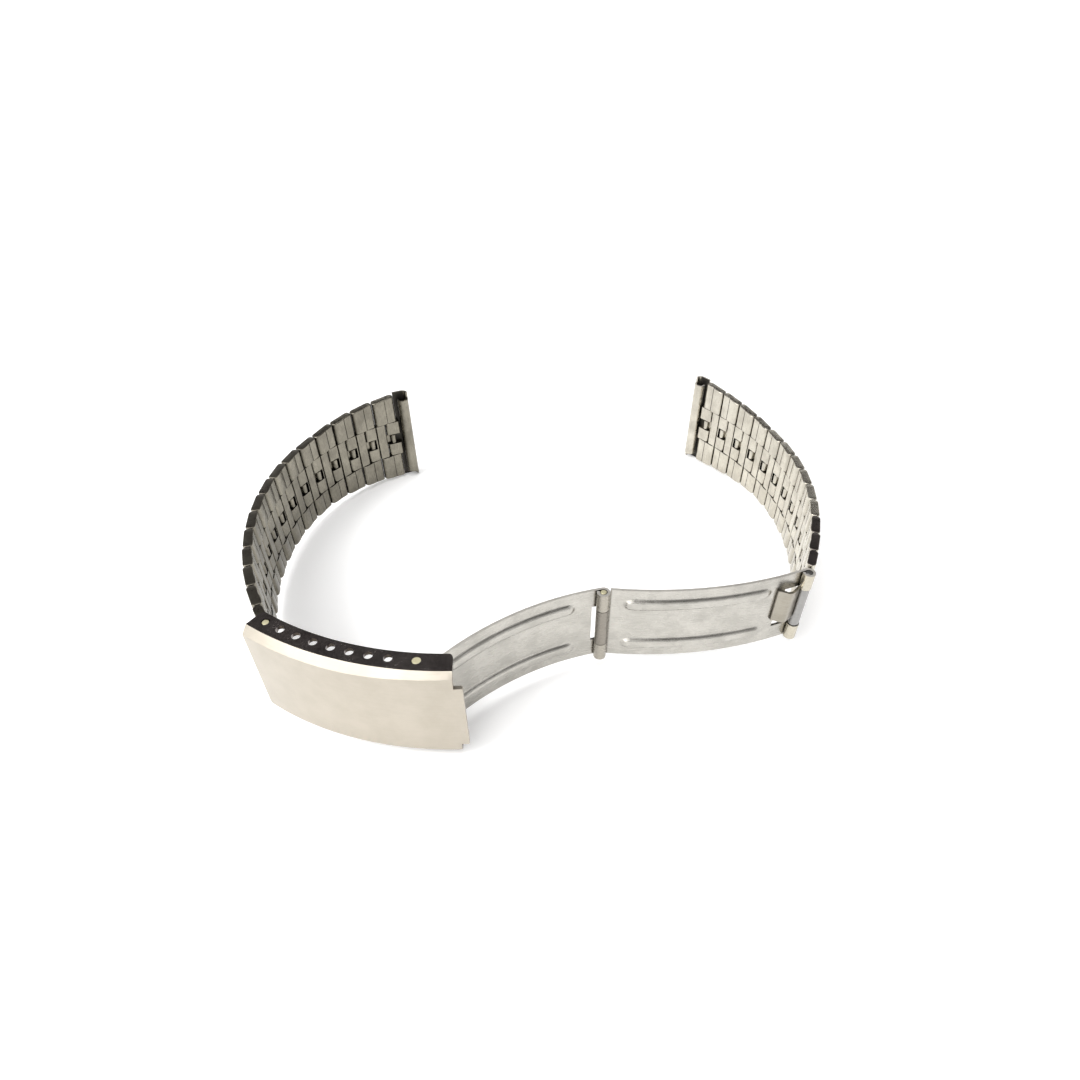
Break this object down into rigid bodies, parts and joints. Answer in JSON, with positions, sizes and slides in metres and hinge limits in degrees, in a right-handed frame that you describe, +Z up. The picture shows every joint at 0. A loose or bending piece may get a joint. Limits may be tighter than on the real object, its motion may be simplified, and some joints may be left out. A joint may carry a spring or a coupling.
{
  "type": "metal watch bracelet",
  "caption": "Steel watch bracelet of hinged folded links on an adjustable two-blade folding clasp, opened out and standing on its edge.",
  "frame": {"origin": "middle of the box on the plane that the bracelet stands on: the lower edges of the two end pieces", "axes": "+Z up along every hinge pin, across the bracelet; +X from the left band to the right band, along the cover; +Y from the cover to the open side where the watch goes"},
  "size_m": [0.1, 0.0874, 0.02],
  "materials": {
    "cover_steel": "fine brushed face, polished bevels",
    "band_steel": "satin folded sheet",
    "blade_steel": "smooth pressed sheet",
    "pin_metal": "drawn wire, cut and spread ends"
  },
  "bodies": {
    "cover": {"clasp_cover": "cover_steel", "cover_hinge_pin": "pin_metal"},
    "short_blade": {"blade_1": "blade_steel", "middle_hinge_pin": "pin_metal"},
    "long_blade": {"blade_2": "blade_steel", "end_pin": "pin_metal"},
    "left_connector": {"left_connector": "band_steel", "spring_bar_barrel": "blade_steel", "spring_bar_spring": "blade_steel"},
    "bar_upper_tip": {"spring_bar_upper_tip": "pin_metal"},
    "bar_lower_tip": {"spring_bar_lower_tip": "pin_metal"},
    "left_link_1": {"left_link_1": "band_steel"},
    "left_link_2": {"left_link_2": "band_steel"},
    "left_link_3": {"left_link_3": "band_steel"},
    "left_link_4": {"left_link_4": "band_steel"},
    "left_link_5": {"left_link_5": "band_steel"},
    "left_link_6": {"left_link_6": "band_steel"},
    "left_link_7": {"left_link_7": "band_steel"},
    "left_link_8": {"left_link_8": "band_steel"},
    "left_link_9": {"left_link_9": "band_steel"},
    "left_link_10": {"left_link_10": "band_steel"},
    "left_link_11": {"left_link_11": "band_steel"},
    "left_link_12": {"left_link_12": "band_steel"},
    "left_link_13": {"left_link_13": "band_steel"},
    "left_link_14": {"left_link_14": "band_steel"},
    "left_end_piece": {"left_end_piece": "band_steel"},
    "right_connector": {"right_connector": "band_steel"},
    "right_link_1": {"right_link_1": "band_steel"},
    "right_link_2": {"right_link_2": "band_steel"},
    "right_link_3": {"right_link_3": "band_steel"},
    "right_link_4": {"right_link_4": "band_steel"},
    "right_link_5": {"right_link_5": "band_steel"},
    "right_link_6": {"right_link_6": "band_steel"},
    "right_link_7": {"right_link_7": "band_steel"},
    "right_link_8": {"right_link_8": "band_steel"},
    "right_link_9": {"right_link_9": "band_steel"},
    "right_link_10": {"right_link_10": "band_steel"},
    "right_link_11": {"right_link_11": "band_steel"},
    "right_link_12": {"right_link_12": "band_steel"},
    "right_end_piece": {"right_end_piece": "band_steel"}
  },
  "joints": [
    {"name": "clasp_fold", "type": "hinge", "parent": "cover", "child": "short_blade", "pos_m": [-0.0138, -0.04088, 0.01], "axis": [0, 0, 1], "range_deg": [-20, 115]},
    {"name": "long_blade_fold", "type": "hinge", "parent": "short_blade", "child": "long_blade", "pos_m": [0.01178, -0.02337, 0.01], "axis": [0, 0, 1], "range_deg": [-140, 24.5]},
    {"name": "left_connector_swing", "type": "hinge", "parent": "cover", "child": "left_connector", "pos_m": [-0.03684, -0.03525, 0.01], "axis": [0, 0, 1], "range_deg": [-60, 45]},
    {"name": "upper_tip_slide", "type": "slide", "parent": "left_connector", "child": "bar_upper_tip", "axis": [0, 0, -1], "range_m": [0, 0.00075], "stiffness_N_per_m": 900, "springref_m": -0.002, "deforming": ["spring_bar_spring"]},
    {"name": "lower_tip_slide", "type": "slide", "parent": "left_connector", "child": "bar_lower_tip", "axis": [0, 0, 1], "range_m": [0, 0.00075], "stiffness_N_per_m": 900, "springref_m": -0.002},
    {"name": "left_link_1_hinge", "type": "hinge", "parent": "left_connector", "child": "left_link_1", "pos_m": [-0.03925, -0.03182, 0.01], "axis": [0, 0, -1], "range_deg": [-9.7, 13.3]},
    {"name": "left_link_2_hinge", "type": "hinge", "parent": "left_link_1", "child": "left_link_2", "pos_m": [-0.0418, -0.02777, 0.01], "axis": [0, 0, -1], "range_deg": [-9.76, 13.24]},
    {"name": "left_link_3_hinge", "type": "hinge", "parent": "left_link_2", "child": "left_link_3", "pos_m": [-0.04402, -0.02353, 0.01], "axis": [0, 0, -1], "range_deg": [-9.87, 13.13]},
    {"name": "left_link_4_hinge", "type": "hinge", "parent": "left_link_3", "child": "left_link_4", "pos_m": [-0.04586, -0.01911, 0.01], "axis": [0, 0, -1], "range_deg": [-10.02, 12.98]},
    {"name": "left_link_5_hinge", "type": "hinge", "parent": "left_link_4", "child": "left_link_5", "pos_m": [-0.04732, -0.01455, 0.01], "axis": [0, 0, -1], "range_deg": [-10.22, 12.78]},
    {"name": "left_link_6_hinge", "type": "hinge", "parent": "left_link_5", "child": "left_link_6", "pos_m": [-0.04835, -0.00988, 0.01], "axis": [0, 0, -1], "range_deg": [-10.47, 12.53]},
    {"name": "left_link_7_hinge", "type": "hinge", "parent": "left_link_6", "child": "left_link_7", "pos_m": [-0.04893, -0.00513, 0.01], "axis": [0, 0, -1], "range_deg": [-10.76, 12.24]},
    {"name": "left_link_8_hinge", "type": "hinge", "parent": "left_link_7", "child": "left_link_8", "pos_m": [-0.04903, -0.00034, 0.01], "axis": [0, 0, -1], "range_deg": [-11.1, 11.9]},
    {"name": "left_link_9_hinge", "type": "hinge", "parent": "left_link_8", "child": "left_link_9", "pos_m": [-0.04863, 0.00442, 0.01], "axis": [0, 0, -1], "range_deg": [-11.49, 11.51]},
    {"name": "left_link_10_hinge", "type": "hinge", "parent": "left_link_9", "child": "left_link_10", "pos_m": [-0.04768, 0.00911, 0.01], "axis": [0, 0, -1], "range_deg": [-11.92, 11.08]},
    {"name": "left_link_11_hinge", "type": "hinge", "parent": "left_link_10", "child": "left_link_11", "pos_m": [-0.04618, 0.01365, 0.01], "axis": [0, 0, -1], "range_deg": [-12.4, 10.6]},
    {"name": "left_link_12_hinge", "type": "hinge", "parent": "left_link_11", "child": "left_link_12", "pos_m": [-0.04411, 0.01796, 0.01], "axis": [0, 0, -1], "range_deg": [-12.93, 10.07]},
    {"name": "left_link_13_hinge", "type": "hinge", "parent": "left_link_12", "child": "left_link_13", "pos_m": [-0.04147, 0.02194, 0.01], "axis": [0, 0, -1], "range_deg": [-13.51, 9.49]},
    {"name": "left_link_14_hinge", "type": "hinge", "parent": "left_link_13", "child": "left_link_14", "pos_m": [-0.03826, 0.02548, 0.01], "axis": [0, 0, -1], "range_deg": [-14.13, 8.87]},
    {"name": "left_end_piece_hinge", "type": "hinge", "parent": "left_link_14", "child": "left_end_piece", "pos_m": [-0.03454, 0.02847, 0.01], "axis": [0, 0, -1], "range_deg": [-14.8, 8.2]},
    {"name": "right_connector_swing", "type": "hinge", "parent": "long_blade", "child": "right_connector", "pos_m": [0.04521, -0.01614, 0.01], "axis": [0, 0, -1], "range_deg": [-60, 70]},
    {"name": "right_link_1_hinge", "type": "hinge", "parent": "right_connector", "child": "right_link_1", "pos_m": [0.04627, -0.01224, 0.01], "axis": [0, 0, 1], "range_deg": [-7.8, 15.2]},
    {"name": "right_link_2_hinge", "type": "hinge", "parent": "right_link_1", "child": "right_link_2", "pos_m": [0.04748, -0.0076, 0.01], "axis": [0, 0, 1], "range_deg": [-8.69, 14.31]},
    {"name": "right_link_3_hinge", "type": "hinge", "parent": "right_link_2", "child": "right_link_3", "pos_m": [0.04839, -0.0029, 0.01], "axis": [0, 0, 1], "range_deg": [-9.44, 13.56]},
    {"name": "right_link_4_hinge", "type": "hinge", "parent": "right_link_3", "child": "right_link_4", "pos_m": [0.04893, 0.00186, 0.01], "axis": [0, 0, 1], "range_deg": [-10.05, 12.95]},
    {"name": "right_link_5_hinge", "type": "hinge", "parent": "right_link_4", "child": "right_link_5", "pos_m": [0.04904, 0.00664, 0.01], "axis": [0, 0, 1], "range_deg": [-10.51, 12.49]},
    {"name": "right_link_6_hinge", "type": "hinge", "parent": "right_link_5", "child": "right_link_6", "pos_m": [0.0487, 0.01141, 0.01], "axis": [0, 0, 1], "range_deg": [-10.83, 12.17]},
    {"name": "right_link_7_hinge", "type": "hinge", "parent": "right_link_6", "child": "right_link_7", "pos_m": [0.04788, 0.01613, 0.01], "axis": [0, 0, 1], "range_deg": [-11, 12]},
    {"name": "right_link_8_hinge", "type": "hinge", "parent": "right_link_7", "child": "right_link_8", "pos_m": [0.04657, 0.02073, 0.01], "axis": [0, 0, 1], "range_deg": [-11.03, 11.97]},
    {"name": "right_link_9_hinge", "type": "hinge", "parent": "right_link_8", "child": "right_link_9", "pos_m": [0.04478, 0.02517, 0.01], "axis": [0, 0, 1], "range_deg": [-10.91, 12.09]},
    {"name": "right_link_10_hinge", "type": "hinge", "parent": "right_link_9", "child": "right_link_10", "pos_m": [0.04254, 0.0294, 0.01], "axis": [0, 0, 1], "range_deg": [-10.65, 12.35]},
    {"name": "right_link_11_hinge", "type": "hinge", "parent": "right_link_10", "child": "right_link_11", "pos_m": [0.0399, 0.03339, 0.01], "axis": [0, 0, 1], "range_deg": [-10.24, 12.76]},
    {"name": "right_link_12_hinge", "type": "hinge", "parent": "right_link_11", "child": "right_link_12", "pos_m": [0.0369, 0.03712, 0.01], "axis": [0, 0, 1], "range_deg": [-9.69, 13.31]},
    {"name": "right_end_piece_hinge", "type": "hinge", "parent": "right_link_12", "child": "right_end_piece", "pos_m": [0.03361, 0.0406, 0.01], "axis": [0, 0, 1], "range_deg": [-9, 14]}
  ],
  "couplings": [
    {"joint": "long_blade_fold", "follows": "clasp_fold", "ratio": -1.2157}
  ]
}
